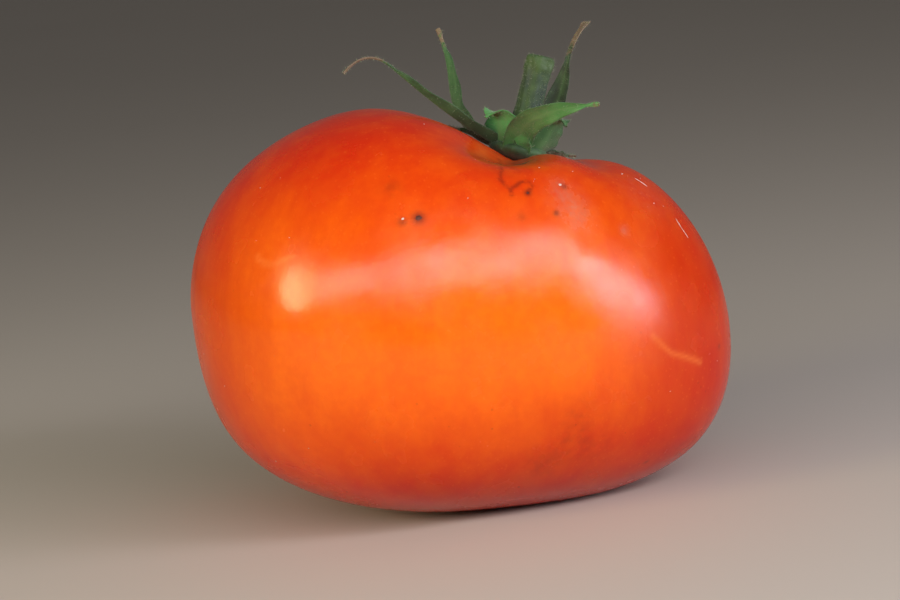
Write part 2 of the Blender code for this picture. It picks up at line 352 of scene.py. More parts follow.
def sepal_material():
    """Hairy green tissue with a pale rib and veins, dried brown towards the tips, each sepal given its own
    darkness, partly its own colour and partly painted shade.
    """
    graph = Graph("sepal_green")
    place = graph.place()
    grain = graph.attribute("grain", "Vector")
    tone = graph.attribute("tone")
    fresh = graph.step(tone, 0.0, 1.0, 1.0, 0.4)
    # Each sepal's darkness: partly its own colour, partly painted shade on the sepals that lie in shade
    color = graph.mix(tone, LEAF_GREEN, LEAF_DARK)
    mottle = graph.step(graph.noise(place, 420, 3), 0.35, 0.7, 0.0, 0.45)
    color = graph.mix(graph.times(mottle, fresh), color, LEAF_PALE)
    veins = graph.step(graph.noise(grain, 520, 4, 0.6), 0.50, 0.66)
    color = graph.mix(graph.times(graph.times(veins, 0.35), fresh), color, LEAF_PALE)
    color = graph.mix(graph.times(graph.times(graph.attribute("rib"), 0.55), fresh), color, LEAF_PALE)
    margin = graph.times(graph.attribute("margin"), 0.40)
    color = graph.mix(margin, color, LEAF_DARK)
    dry = graph.attribute("dry")
    patchy = graph.plus(dry, graph.step(graph.noise(place, 900, 3), 0.3, 0.7, -0.25, 0.25))
    dryness = graph.step(patchy, 0.30, 0.70)
    husk = graph.mix(graph.step(graph.noise(grain, 900, 3), 0.35, 0.65), DRY_BROWN, DRY_PALE)
    color = graph.mix(dryness, color, husk)
    height = graph.plus(graph.times(veins, 0.7), graph.noise(place, 2600, 3))
    return graph.finish(
        {
            "Base Color": color,
            "Roughness": graph.step(graph.noise(place, 800, 2), 0.3, 0.7, 0.50, 0.68),
            "Normal": graph.bump(height, 0.10 * MM, 0.6),
            "Specular IOR Level": 0.35,
            "Subsurface Weight": 0.10,
            "Subsurface Radius": (0.4, 1.0, 0.2),
            "Subsurface Scale": 0.8 * MM,
            "Sheen Weight": 0.15,
            "Sheen Roughness": 0.5,
        }
    )


STEM_GREEN = (0.030, 0.064, 0.017, 1)
STEM_PALE = (0.070, 0.130, 0.034, 1)
STEM_BLUE = (0.022, 0.042, 0.030, 1)
PITH = (0.42, 0.42, 0.22, 1)
PITH_EDGE = (0.16, 0.20, 0.08, 1)


def stem_material():
    """Ribbed, hairy green stem with a brighter knuckle and a pale, torn break."""
    graph = Graph("stem_green")
    place = graph.place()
    grain = graph.attribute("grain", "Vector")
    color = graph.mix(graph.step(graph.noise(grain, 500, 4, 0.6), 0.35, 0.68), STEM_GREEN, STEM_BLUE)
    color = graph.mix(graph.step(graph.noise(place, 500, 3), 0.42, 0.72, 0.0, 0.40), color, STEM_PALE)
    color = graph.mix(graph.times(graph.attribute("foot"), 0.55), color, STEM_PALE)
    color = graph.mix(graph.times(graph.attribute("knuckle"), 0.60), color, STEM_PALE)
    torn = graph.mix(graph.step(graph.noise(place, 1500, 3), 0.35, 0.7), PITH_EDGE, PITH)
    color = graph.mix(graph.attribute("break"), color, torn)
    height = graph.plus(graph.noise(grain, 700, 3), graph.noise(place, 2600, 3))
    return graph.finish(
        {
            "Base Color": color,
            "Roughness": graph.step(graph.noise(place, 700, 2), 0.3, 0.7, 0.48, 0.66),
            "Normal": graph.bump(height, 0.10 * MM, 0.6),
            "Specular IOR Level": 0.35,
            "Sheen Weight": 0.12,
            "Sheen Roughness": 0.5,
        }
    )


def plain_material(name, dark, light, roughness, scale=1500):
    """Two shades of one colour, mottled."""
    graph = Graph(name)
    share = graph.step(graph.noise(graph.place(), scale, 3), 0.35, 0.65)
    color = graph.mix(share, dark, light)
    return graph.finish({"Base Color": color, "Roughness": roughness, "Specular IOR Level": 0.3})


# ---------------------------------------------------------------- meshes


def new_object(name, mesh, material):
    thing = bpy.data.objects.new(name, mesh)
    bpy.context.scene.collection.objects.link(thing)
    mesh.materials.append(material)
    return thing


def store(mesh, name, values):
    """Keeps one number or one vector a vertex, for the material."""
    values = np.asarray(values, dtype=np.float32)
    vector = values.ndim == 2
    layer = mesh.attributes.new(name, "FLOAT_VECTOR" if vector else "FLOAT", "POINT")
    layer.data.foreach_set("vector" if vector else "value", values.ravel())


def tube_faces(rows, columns, first=0):
    """Quads of a closed tube: rows of points, each row a ring."""
    faces = []
    for row in range(rows - 1):
        start, after = first + row * columns, first + (row + 1) * columns
        for column in range(columns):
            beside = (column + 1) % columns
            faces.append((start + column, start + beside, after + beside, after + column))
    return faces


def fan(centre, ring, flip=False):
    """Triangles from a centre vertex to a ring of vertices."""
    pairs = list(zip(ring, ring[1:] + ring[:1]))
    return [(centre, second, first) if flip else (centre, first, second) for first, second in pairs]


def smooth_mesh(name, points, faces):
    mesh = bpy.data.meshes.new(name)
    mesh.from_pydata([tuple(point) for point in points], [], faces)
    mesh.validate()
    mesh.shade_smooth()
    return mesh


# ---------------------------------------------------------------- fruit


def groove_share(azimuth, latitude):
    """How much of the deepest groove there is in this direction."""
    descent = 0.5 - latitude / pi
    total = 0
    for groove in GROOVES:
        middle = np.radians(groove.azimuth + groove.drift * descent)
        off = (azimuth - middle + pi) % tau - pi
        total = total + groove.depth * bell(off, radians(groove.spread))
    return total


def skin_places(azimuth, latitude):
    """Points of the skin for arrays of directions. Latitude is -90 degrees at the blossom end."""
    azimuth, latitude = np.asarray(azimuth, float), np.asarray(latitude, float)
    crown = latitude >= 0
    power = np.where(crown, CROWN_POWER, BASE_POWER)
    out, rise = np.abs(np.cos(latitude)), np.abs(np.sin(latitude))
    scale = (out**power + rise**power) ** (-1 / power)
    out, rise = out * scale, rise * scale

    groove = groove_share(azimuth, latitude)
    grooving = np.where(crown, 1, BASE_GROOVING)
    grooving = EQUATOR_GROOVING + (grooving - EQUATOR_GROOVING) * ease(rise / GROOVE_RISE)
    plan = 1 + PLAN_LOBING * np.cos(3 * (azimuth - radians(PLAN_LOBING_AZIMUTH)))
    radius = out * (1 - GROOVE_DEPTH * groove * grooving) * plan
    pole_x = np.where(crown, STEM_POLE_X, BLOSSOM_POLE_X)
    x = pole_x * (1 - out**2) + HALF_WIDTH * radius * np.cos(azimuth)
    y = HALF_DEPTH * radius * np.sin(azimuth)

    z = EQUATOR_HEIGHT - EQUATOR_SLOPE * x
    crown_z = z + (CROWN_RISE - CROWN_SLOPE * x - CROWN_BACK_SLOPE * y) * rise
    crown_z -= CAVITY_DEPTH * bell(out, CAVITY_SPREAD)
    crown_z -= GROOVE_SAG * groove * bell(out - SHOULDER_RADIUS, SHOULDER_SPREAD) * rise
    pleats = bell(out - CAVITY_PLEAT_RADIUS, CAVITY_PLEAT_RADIUS)
    crown_z += CAVITY_PLEAT_DEPTH * np.cos(CAVITY_PLEATS * azimuth) * pleats
    z = np.where(crown, crown_z, z - BASE_DROP * rise)
    z = (z + np.sqrt(z**2 + REST_ROUNDING**2)) / 2
    return np.stack([x, y, z], -1)


def skin_point(azimuth, latitude):
    """One point of the skin, in degrees."""
    return Vector(skin_places(radians(azimuth), radians(latitude)))


def make_fruit():
    """The skin, its rings and meridians closest where the marks are."""
    latitudes = np.linspace(-pi / 2, pi / 2, FRUIT_RINGS + 1)[1:-1]
    latitudes += SHOULDER_CROWDING / 2 * (1 + np.cos(2 * latitudes))
    azimuths = np.linspace(0, tau, FRUIT_SEGMENTS, endpoint=False)
    azimuths -= FRONT_CROWDING * np.sin(azimuths - radians(MARKED_AZIMUTH))
    azimuth, latitude = np.meshgrid(azimuths, latitudes)
    azimuth = np.append(azimuth.ravel(), [0, 0])
    latitude = np.append(latitude.ravel(), [-pi / 2, pi / 2])
    places = skin_places(azimuth, latitude)

    centre = np.array([0, 0, EQUATOR_HEIGHT])
    outward = places - centre
    outward /= np.linalg.norm(outward, axis=1)[:, None]
    waves = np.array([noise.noise(Vector(place) * UNEVENNESS_SCALE) for place in places])
    places += outward * (waves * UNEVENNESS * ease(places[:, 2] / UNEVENNESS_START))[:, None]
    from_scar = np.linalg.norm(places[:, :2] - np.array([BLOSSOM_POLE_X, 0]), axis=1)
    underneath = latitude < 0
    places[:, 2] += np.where(underneath, SCAR_DIMPLE * bell(from_scar, SCAR_RADIUS), 0)

    ring_count = len(latitudes)
    blossom, stem = len(places) - 2, len(places) - 1
    faces = tube_faces(ring_count, FRUIT_SEGMENTS)
    faces += fan(blossom, list(range(FRUIT_SEGMENTS)), flip=True)
    last = (ring_count - 1) * FRUIT_SEGMENTS
    faces += fan(stem, list(range(last, last + FRUIT_SEGMENTS)))
    mesh = smooth_mesh("fruit_skin", places, faces)
    store(mesh, "grain", grain_of_skin(azimuth, latitude))
    for name, values in skin_masks(places, latitude, from_scar).items():
        store(mesh, name, values)
    fruit = new_object("fruit_skin", mesh, skin_material())
    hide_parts("fruit")
    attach(fruit, "root")
    return fruit


def grain_of_skin(azimuth, latitude):
    """Coordinates in which a noise is drawn out into streaks from pole to pole."""
    round_it = np.cos(latitude)
    return np.stack(
        [
            HALF_WIDTH * np.cos(azimuth) * round_it,
            HALF_WIDTH * np.sin(azimuth) * round_it,
            STREAK_DRAW * HALF_WIDTH * latitude,
        ],
        -1,
    )


# Radius in millimetres
Smudge = namedtuple("Smudge", "azimuth latitude radius strength")
DUST = (
    Smudge(297, 37, 3.0, 0.45),
    Smudge(300, 32, 2.6, 0.45),
    Smudge(295, 42, 1.5, 0.35),
    Smudge(314, 30, 0.9, 0.50),
    Smudge(328, 44, 4.5, 0.18),
    Smudge(150, 50, 8.0, 0.20),
    Smudge(60, 40, 9.0, 0.16),
)
STAINS = (
    Smudge(280, 67, 4.0, 0.50),
    Smudge(277, 50, 2.4, 0.45),
    Smudge(284, 58, 3.0, 0.30),
    Smudge(252, 34, 1.6, 0.35),
    Smudge(297, -17, 2.2, 0.22),
    Smudge(297, -26, 3.0, 0.30),
    Smudge(290, -34, 3.5, 0.28),
    Smudge(303, -30, 6.0, 0.18),
    Smudge(95, 55, 4.0, 0.40),
    Smudge(130, -40, 9.0, 0.25),
)
SPOTS = (
    Smudge(260.4, 27.5, 0.95, 0.85),
    Smudge(257.3, 26.2, 0.70, 0.55),
    Smudge(293.6, 32.8, 0.45, 0.80),
    Smudge(285.6, 38.0, 0.55, 0.70),
    Smudge(296.4, 41.8, 0.55, 0.60),
    Smudge(284.5, 30.7, 0.70, 0.25),
    Smudge(279.4, 25.3, 1.00, 0.14),
    Smudge(285.1, 25.8, 0.60, 0.18),
    Smudge(324.7, -37.3, 0.40, 0.60),
    Smudge(340.4, -3.7, 0.40, 0.55),
    Smudge(236.0, -57.8, 0.60, 0.60),
    Smudge(120, 20, 0.9, 0.7),
    Smudge(70, -20, 0.6, 0.7),
)

# Each a path of azimuths and latitudes
SCARS = (
    ((264, 71), (276, 47), (277, 42), (279, 40), (280.5, 39), (281.2, 37)),
    ((280.5, 39), (281.8, 39.8), (282.9, 41.3), (284.5, 42.2), (285.9, 41.9), (286.6, 40.5), (285.6, 38)),
)
PALE_LINES = (
    ((226.3, 15.7), (228.4, 14.8), (231.2, 14.7), (233.5, 15.7), (235.5, 16.7)),
    ((316.9, 2.6), (319.4, 0), (321.8, -2.7), (325.5, -4.1), (328.8, -5.5), (331.8, -7)),
)
SCAR_SPREAD = 0.38 * MM
SCAR_STRENGTH = 0.75
PALE_LINE_SPREAD = 0.45 * MM
PALE_LINE_STRENGTH = 0.28


def smudges(places, marks):
    total = np.zeros(len(places))
    for mark in marks:
        away = np.linalg.norm(places - np.array(skin_point(mark.azimuth, mark.latitude)), axis=1)
        total += mark.strength * bell(away, mark.radius * MM)
    return np.clip(total, 0, 1)


def near_paths(places, paths, spread):
    """1 on the paths, fading to 0 beside them."""
    closest = np.full(len(places), np.inf)
    for path in paths:
        azimuths, latitudes = np.radians(path).T
        knots = skin_places(azimuths, latitudes)
        for start, end in zip(knots, knots[1:]):
            along = end - start
            share = np.clip((places - start) @ along / (along @ along), 0, 1)
            away = np.linalg.norm(places - start - share[:, None] * along, axis=1)
            closest = np.minimum(closest, away)
    return bell(closest, spread)


def fade(distance, amount, start, reach):
    """Nothing up to start, growing to the whole amount over reach."""
    return amount * ease((distance - start) / reach)


# Orange is strongest at BELT_HEIGHT. The left and right sides have less of it, and they and the base are a
# deeper red: this is painted shade.
# The tuples are amount, start and reach, as fade takes them.
BELT_HEIGHT = 33 * MM
BELT_BELOW = 18 * MM
BELT_ABOVE = 20 * MM
PAINTED_SHADE_LESS_ORANGE_LEFT = (0.45, 22 * MM, 25 * MM)
PAINTED_SHADE_LESS_ORANGE_RIGHT = (0.75, 16 * MM, 26 * MM)
PAINTED_SHADE_BASE = (0.5, -15 * MM, 15 * MM)
PAINTED_SHADE_RIGHT = (0.45, 20 * MM, 20 * MM)
PAINTED_SHADE_LEFT = (0.25, 24 * MM, 16 * MM)
SPECKLED_HEIGHT = 6 * MM
SPECKLED_SPREAD = 12 * MM
FEWEST_SPECKS = 0.15
MORE_SPECKS = 0.6  # added at SPECKLED_HEIGHT
CORK_SPREAD = 0.7  # in radii of the scar
CORK_STRENGTH = 1.3


def skin_masks(places, latitude, from_scar):
    """How orange, how dark with painted shade, how stained, dusty or corky the skin is at each point."""
    height = places[:, 2]
    side = places[:, 0]
    belt = bell(height - BELT_HEIGHT, np.where(height < BELT_HEIGHT, BELT_BELOW, BELT_ABOVE))
    belt *= 1 - fade(-side, *PAINTED_SHADE_LESS_ORANGE_LEFT) - fade(side, *PAINTED_SHADE_LESS_ORANGE_RIGHT)
    painted_shade = fade(-height, *PAINTED_SHADE_BASE) + fade(side, *PAINTED_SHADE_RIGHT) + fade(-side, *PAINTED_SHADE_LEFT)
    cork = np.where(latitude < 0, bell(from_scar, SCAR_RADIUS * CORK_SPREAD), 0)
    return {
        "orange": np.clip(belt, 0, 1),
        "painted_shade": painted_shade,
        "stain": smudges(places, STAINS),
        "scar": SCAR_STRENGTH * near_paths(places, SCARS, SCAR_SPREAD),
        "pale": PALE_LINE_STRENGTH * near_paths(places, PALE_LINES, PALE_LINE_SPREAD),
        "spot": smudges(places, SPOTS),
        "dust": smudges(places, DUST),
        "specks": FEWEST_SPECKS + MORE_SPECKS * bell(height - SPECKLED_HEIGHT, SPECKLED_SPREAD),
        "cork": np.clip(cork * CORK_STRENGTH, 0, 1),
    }


# ---------------------------------------------------------------- calyx


def calyx_frame():
    """Where the calyx stands: at the bottom of the stem cavity, leaning as the stem does."""
    axis = Vector((STEM_LEAN_X, STEM_LEAN_Y, 1)).normalized()
    place = skin_point(0, 90) + GAP * axis
    lean = Vector((0, 0, 1)).rotation_difference(axis)
    return Matrix.LocRotScale(place, lean, None)


def sepal_width(sepal, share):
    """A lance-shaped blade that ends in a thread."""
    along = min(share / (1 - sepal.thread), 1)
    blade = (1 - along) ** SEPAL_TAPER * (1 + SEPAL_BELLY * along)
    thread = sepal.tip_width * (THREAD_NECK + TIP_SWELL * float(bell(share - TIP_PLACE, TIP_SPREAD)))
    return max(thread, sepal.width * blade)


def rib_climb(sepal, share):
    """The rib's inclination above the calyx's plane, in degrees."""
    if share < sepal.bend:
        return sepal.root + (sepal.middle - sepal.root) * float(ease(share / sepal.bend))
    past = (share - sepal.bend) / (1 - sepal.bend)
    return sepal.middle + (sepal.tip - sepal.middle) * float(ease(past))


def sepal_rib(sepal):
    """(place, sideways direction, upward direction) at each row of the sepal, from root to tip."""
    azimuth = radians(sepal.azimuth)
    place = Vector((cos(azimuth), sin(azimuth), 0)) * ROOT_RADIUS
    place.z = RECEPTACLE_HALF_HEIGHT
    rows = []
    for row in range(SEPAL_ROWS + 1):
        share = row / SEPAL_ROWS
        climb = radians(rib_climb(sepal, share))
        heading = azimuth + radians(sepal.sway) * share
        ahead = Vector((cos(climb) * cos(heading), cos(climb) * sin(heading), sin(climb)))
        roll = Matrix.Rotation(radians(sepal.twist) * share, 3, ahead)
        side = roll @ Vector((-sin(heading), cos(heading), 0))
        rows.append((place.copy(), side, ahead.cross(side)))
        place += ahead * (sepal.length / SEPAL_ROWS)
    return rows


def sepal_points(sepal, number, stand, skin_tree):
    """The blade's closed sections from root to tip, with what the material needs to know of each point."""
    sections = []
    for row, (place, side, up) in enumerate(sepal_rib(sepal)):
        share = row / SEPAL_ROWS
        half = sepal_width(sepal, share) / 2
        dry = float(ease((share - 1 + sepal.thread * DRY_START) / (sepal.thread * DRY_REACH)))
        dry *= min(1, sepal.thread * THREAD_DRYNESS)
        rib = RIB_THICKNESS + (THREAD_THICKNESS - RIB_THICKNESS) * float(ease(share * RIB_THINNING))
        wave = MARGIN_WAVE * sin(share * MARGIN_WAVE_TURN + number * MARGIN_WAVE_STEP)
        across_steps = [cos(pi * step / SEPAL_COLUMNS) for step in range(SEPAL_COLUMNS * 2)]
        section = []
        for step, across in enumerate(across_steps):
            over = 1 if step <= SEPAL_COLUMNS else -1
            lift = sepal.fold * half * abs(across) ** FOLD_POWER
            lift += wave * abs(across) ** 3 * (1 - dry)
            point = stand @ (place + side * (half * across) + up * lift)
            nearest, normal, _, _ = skin_tree.find_nearest(point)
            if (point - nearest).dot(normal) < SKIN_CLEARANCE:
                point = nearest + normal * SKIN_CLEARANCE
            thick = MARGIN_THICKNESS + (rib - MARGIN_THICKNESS) * bell(across, RIB_SPREAD)
            round_off = abs(sin(pi * step / SEPAL_COLUMNS)) ** MARGIN_ROUNDING
            turned = (stand.to_3x3() @ up) * (over * thick / 2 * round_off)
            section.append((point + turned, across, share, half, dry))
        sections.append(section)
    return sections


# For the material: how far the rib and the margin show, as shares of the half width, and how the veins are
# drawn out along each sepal and set apart from those of the one before
RIB_MARK = 0.16
MARGIN_MARK = 0.28
VEIN_DRAW = 0.14
VEIN_STEP = 0.05


def make_sepals(stand, skin_tree):
    """All the sepals, each a closed blade with its root inside the receptacle."""
    points, faces, facts = [], [], []
    for number, sepal in enumerate(SEPALS):
        sections = sepal_points(sepal, number, stand, skin_tree)
        first, columns = len(points), SEPAL_COLUMNS * 2
        for section in sections:
            for point, across, share, half, dry in section:
                points.append(point)
                grain = (number * VEIN_STEP + across * half, share * sepal.length * VEIN_DRAW, 0)
                rib = float(bell(across, RIB_MARK)) * (1 - dry)
                margin = float(ease((abs(across) - (1 - MARGIN_MARK)) / MARGIN_MARK))
                facts.append((grain, rib, margin, dry, sepal.tone))
        faces += tube_faces(len(sections), columns, first)
        for ring, flip in ((0, False), (len(sections) - 1, True)):
            start = first + ring * columns
            points.append(sum((points[start + step] for step in range(columns)), Vector()) / columns)
            facts.append(facts[start])
            faces += fan(len(points) - 1, list(range(start, start + columns)), flip)
    mesh = smooth_mesh("sepals", points, faces)
    store(mesh, "grain", [fact[0] for fact in facts])
    for column, name in enumerate(("rib", "margin", "dry", "tone"), 1):
        store(mesh, name, [fact[column] for fact in facts])
    sepals = new_object("sepals", mesh, sepal_material())
    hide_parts("calyx")
    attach(sepals, "root")
    return sepals


# The same for the receptacle, whose grain runs round it
RECEPTACLE_GRAIN_RADIUS = 4 * MM
RECEPTACLE_GRAIN_DRAW = 0.2
# The receptacle's dark tone is partly painted shade, where it sits low among the sepals' roots
RECEPTACLE_LOOKS = (("rib", 0.1), ("margin", 0.0), ("dry", 0.0), ("tone", 0.9))


def make_receptacle(stand, material):
    """The disc that the sepals grow from, a little wider where each of them does."""
    rings, segments = RECEPTACLE_RINGS, RECEPTACLE_SEGMENTS
    points, facts = [], []
    for ring in range(1, rings):
        latitude = pi * (ring / rings - 0.5)
        for segment in range(segments):
            azimuth = tau * segment / segments
            swell = 1
            for sepal in SEPALS:
                off = (azimuth - radians(sepal.azimuth) + pi) % tau - pi
                swell += RECEPTACLE_SWELL * float(bell(off, radians(RECEPTACLE_SWELL_SPREAD)))
            out = RECEPTACLE_RADIUS * cos(latitude) * swell
            height = RECEPTACLE_HALF_HEIGHT * (1 + sin(latitude))
            points.append(stand @ Vector((out * cos(azimuth), out * sin(azimuth), height)))
            facts.append((azimuth, height))
    for height in (0, 2 * RECEPTACLE_HALF_HEIGHT):
        points.append(stand @ Vector((0, 0, height)))
        facts.append((0, height))
    faces = tube_faces(rings - 1, segments)
    last = (rings - 2) * segments
    faces += fan(len(points) - 2, list(range(segments)), flip=True)
    faces += fan(len(points) - 1, list(range(last, last + segments)))
    mesh = smooth_mesh("receptacle", points, faces)
    grain = [
        (azimuth * RECEPTACLE_GRAIN_RADIUS, height * RECEPTACLE_GRAIN_DRAW, 0)
        for azimuth, height in facts
    ]
    store(mesh, "grain", grain)
    for name, value in RECEPTACLE_LOOKS:
        store(mesh, name, [value] * len(points))
    receptacle = new_object("receptacle", mesh, material)
    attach(receptacle, "root")
    return receptacle


# ---------------------------------------------------------------- stem


def stem_radius(height):
    """Flared at its foot, and swollen at the knuckle where it broke off."""
    flare = 1 - ease(height / STEM_FOOT_LENGTH)
    swell = bell(STEM_LENGTH - KNUCKLE_DROP - height, KNUCKLE_SPREAD)
    return (
        STEM_RADIUS
        + (STEM_FOOT_RADIUS - STEM_RADIUS) * flare
        + (KNUCKLE_RADIUS - STEM_RADIUS) * swell
    )


def stem_side_radius(share, azimuth):
    """The radius with ridges, bumps and the knuckle's lumps, rounded off at the rim."""
    height = STEM_LENGTH * share
    turn = azimuth + STEM_TWIST * share
    x, y = cos(azimuth), sin(azimuth)
    ridge = cos(STEM_RIDGES * turn) + FINE_RIDGE_SHARE * cos(FINE_RIDGES * turn + 1)
    relief = STEM_RIDGE_HEIGHT * ridge * float(ease(share * RIDGE_RISE))
    relief += STEM_BUMP * noise.noise(Vector((x, y, height * STEM_BUMP_CLOSENESS)) * STEM_BUMP_SCALE)
    along = height * KNUCKLE_LUMP_CLOSENESS + KNUCKLE_LUMP_START
    lump = noise.noise(Vector((x * KNUCKLE_LUMP_SCALE, y * KNUCKLE_LUMP_SCALE, along)))
    at_knuckle = float(bell(height - STEM_LENGTH + KNUCKLE_DROP, KNUCKLE_LUMP_SPREAD))
    relief += KNUCKLE_LUMP * lump * at_knuckle
    rim = float(ease((share - (1 - RIM_LENGTH)) / RIM_LENGTH))
    return float(stem_radius(height)) + relief - RIM_ROUNDING * rim


def stem_break_point(inward, azimuth):
    """A point of the dished, torn break: inward is 1 at its edge and 0 in its middle."""
    across = Vector((cos(azimuth) * inward, sin(azimuth) * inward, 3))
    rough = noise.noise(across * BREAK_ROUGHNESS_SCALE)
    height = STEM_LENGTH - CUT_DISH * (1 - inward**3) + BREAK_ROUGHNESS * rough * (1 - inward**6)
    radius = float(stem_radius(STEM_LENGTH) - RIM_ROUNDING) * inward
    return Vector((radius * cos(azimuth), radius * sin(azimuth), height))


# For the material: how far the pale foot and the knuckle reach, and how the grain is drawn out
FOOT_REACH = 7 * MM
KNUCKLE_MARK = 1.6 * MM
STEM_GRAIN_RADIUS = 3 * MM
STEM_GRAIN_DRAW = 0.12


def make_stem(stand):
    """Ribbed along its length, with a lumpy knuckle and a torn, dished break at its top."""
    floor = 2 * RECEPTACLE_HALF_HEIGHT - SOCKET_DEPTH + GAP
    azimuths = [tau * segment / STEM_SEGMENTS for segment in range(STEM_SEGMENTS)]
    points, facts = [], []
    for row in range(STEM_ROWS + 1):
        share = row / STEM_ROWS
        height = STEM_LENGTH * share
        for azimuth in azimuths:
            radius = stem_side_radius(share, azimuth)
            points.append(Vector((radius * cos(azimuth), radius * sin(azimuth), height)))
            facts.append((azimuth, height, 0))
    for ring in range(1, BREAK_RINGS):
        for azimuth in azimuths:
            points.append(stem_break_point(1 - ring / BREAK_RINGS, azimuth))
            facts.append((azimuth, points[-1].z, 1))
    rows = STEM_ROWS + BREAK_RINGS
    points += [Vector((0, 0, 0)), Vector((0, 0, STEM_LENGTH - CUT_DISH))]
    facts += [(0, 0, 0), (0, STEM_LENGTH, 1)]
    faces = tube_faces(rows, STEM_SEGMENTS)
    last = (rows - 1) * STEM_SEGMENTS
    faces += fan(len(points) - 2, list(range(STEM_SEGMENTS)), flip=True)
    faces += fan(len(points) - 1, list(range(last, last + STEM_SEGMENTS)))
    placed = [stand @ (point + Vector((0, 0, floor))) for point in points]
    mesh = smooth_mesh("stem_skin", placed, faces)

    turns = np.array([fact[0] for fact in facts])
    heights = np.array([fact[1] for fact in facts])
    around = [STEM_GRAIN_RADIUS * np.cos(turns), STEM_GRAIN_RADIUS * np.sin(turns)]
    store(mesh, "grain", np.stack([*around, heights * STEM_GRAIN_DRAW], -1))
    store(mesh, "foot", 1 - ease(heights / FOOT_REACH))
    store(mesh, "knuckle", bell(heights - STEM_LENGTH + KNUCKLE_DROP, KNUCKLE_MARK))
    store(mesh, "break", [fact[2] for fact in facts])
    stem = new_object("stem_skin", mesh, stem_material())
    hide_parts("stem")
    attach(stem, "root")
    return stem


# ---------------------------------------------------------------- hairs


HAIR_DARK = (0.24, 0.30, 0.18, 1)
HAIR_LIGHT = (0.40, 0.46, 0.32, 1)


def surface_samples(thing, count, draw):
    """(place, normal) at randomly drawn vertices of a mesh."""
    vertices = thing.data.vertices
    picked = [vertices[draw.randrange(len(vertices))] for _ in range(count)]
    return [(vertex.co.copy(), vertex.normal.copy()) for vertex in picked]


def make_hairs(name, samples, material, draw):
    """Fine tapering hairs, three-sided and closed, leaning a little at random."""
    points, faces = [], []
    for place, normal in samples:
        lean = Vector([draw.uniform(-HAIR_LEAN, HAIR_LEAN) for _ in range(3)])
        ahead = (normal + lean).normalized()
        side = ahead.orthogonal().normalized()
        other = ahead.cross(side)
        length = HAIR_LENGTH * draw.uniform(*HAIR_LENGTHS)
        root = place - normal * HAIR_SINK
        first = len(points)
        for corner in range(3):
            turn = tau * corner / 3
            points.append(root + (side * cos(turn) + other * sin(turn)) * HAIR_RADIUS)
        points.append(place + ahead * length)
        faces += [(first + 2, first + 1, first)]
        faces += [(first + a, first + b, first + 3) for a, b in ((0, 1), (1, 2), (2, 0))]
    hairs = new_object(name, smooth_mesh(name, points, faces), material)
    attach(hairs, "root")


# ---------------------------------------------------------------- marks on the skin


def on_skin(azimuth, latitude, skin_tree):
    place, normal, _, _ = skin_tree.find_nearest(skin_point(azimuth, latitude))
    return place, normal


def tube_faces_inward(first, rows, columns):
    return [tuple(reversed(face)) for face in tube_faces(rows, columns, first)]


BLOT_RINGS = 4
BLOT_STEPS = 14
BLOT_REACHES = (0.75, 1.2)  # shares of its half width or length
BLOT_RIM_SINK = 0.03 * MM
BLOT_DEPTH = 0.15 * MM


def blot(points, faces, skin_tree, azimuth, latitude, width, length, turn, height, draw):
    """A low dome of irregular outline that lies on the skin, its rim sunk into it. Turn is in degrees."""
    place, normal = on_skin(azimuth, latitude, skin_tree)
    east = Vector((0, 0, 1)).cross(normal).normalized()
    along = Matrix.Rotation(radians(turn), 3, normal) @ east
    across = normal.cross(along)
    edge = [draw.uniform(*BLOT_REACHES) for _ in range(BLOT_STEPS)]
    first = len(points)
    points.append(place + normal * height)
    for ring in range(1, BLOT_RINGS + 1):
        share = ring / BLOT_RINGS
        for step in range(BLOT_STEPS):
            angle = tau * step / BLOT_STEPS
            reach = share * edge[step] if ring > 1 else share
            aside = along * (cos(angle) * length / 2) + across * (sin(angle) * width / 2)
            nearest, up, _, _ = skin_tree.find_nearest(place + aside * reach)
            points.append(nearest + up * (height * (1 - share**2) - BLOT_RIM_SINK * share))
    under = len(points)
    points.append(place - normal * BLOT_DEPTH)
    faces += fan(first, list(range(first + 1, first + 1 + BLOT_STEPS)))
    faces += tube_faces_inward(first + 1, BLOT_RINGS, BLOT_STEPS)
    rim = first + 1 + (BLOT_RINGS - 1) * BLOT_STEPS
    faces += fan(under, list(range(rim, rim + BLOT_STEPS)), flip=True)


TRAIL_STEP = 0.25 * MM
TRAIL_COLUMNS = 6
TRAIL_TAPER = 6  # each end tapers over 1/6 of the trail
TRAIL_WOBBLE = 0.5
TRAIL_WOBBLE_SCALE = 2500


def smooth_route(knots):
    """Points of the curve through the knots (Catmull-Rom), TRAIL_STEP apart."""
    route = []
    for index in range(len(knots) - 1):
        before = knots[max(index - 1, 0)]
        after = knots[min(index + 2, len(knots) - 1)]
        start, end = knots[index], knots[index + 1]
        linear = end - before
        square = 2 * before - 5 * start + 4 * end - after
        cube = 3 * start - before - 3 * end + after
        steps = max(3, ceil((end - start).length / TRAIL_STEP))
        for step in range(steps):
            share = step / steps
            route.append(0.5 * (2 * start + linear * share + square * share**2 + cube * share**3))
    route.append(knots[-1])
    return route


